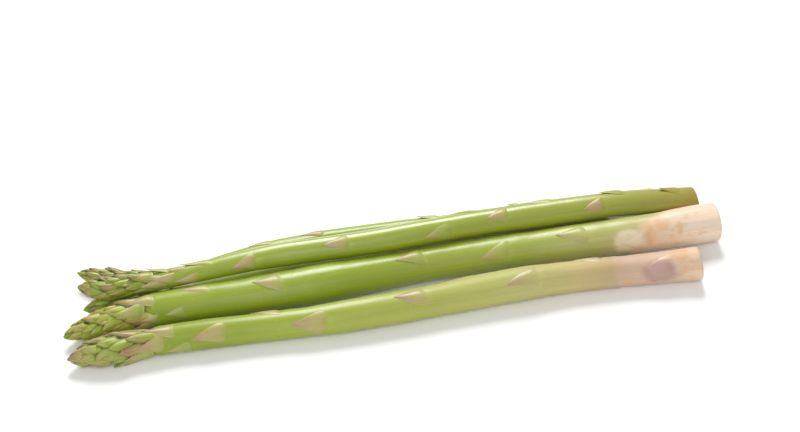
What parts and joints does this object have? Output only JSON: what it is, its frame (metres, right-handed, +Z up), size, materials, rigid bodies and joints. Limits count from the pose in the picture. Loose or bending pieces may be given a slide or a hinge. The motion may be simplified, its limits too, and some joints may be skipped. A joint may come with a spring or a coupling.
{
  "type": "asparagus bunch",
  "caption": "Loose bunch of green asparagus spears lying flat, with scaly pointed tips at one end and cut stem ends at the other.",
  "frame": {"origin": "middle of the bunch's outline, on the surface that it lies on", "axes": "+X along the bunch towards the cut ends, +Y away from the front spear, +Z up"},
  "size_m": [0.2245, 0.0504, 0.0176],
  "materials": {
    "skin_front": "satin",
    "skin_middle": "satin",
    "skin_top": "satin",
    "skin_back": "satin",
    "skin_inner": "satin"
  },
  "bodies": {
    "root": {"spear_front": "skin_front", "spear_middle": "skin_middle", "spear_top": "skin_top", "spear_back": "skin_back", "spear_inner": "skin_inner"}
  },
  "joints": []
}
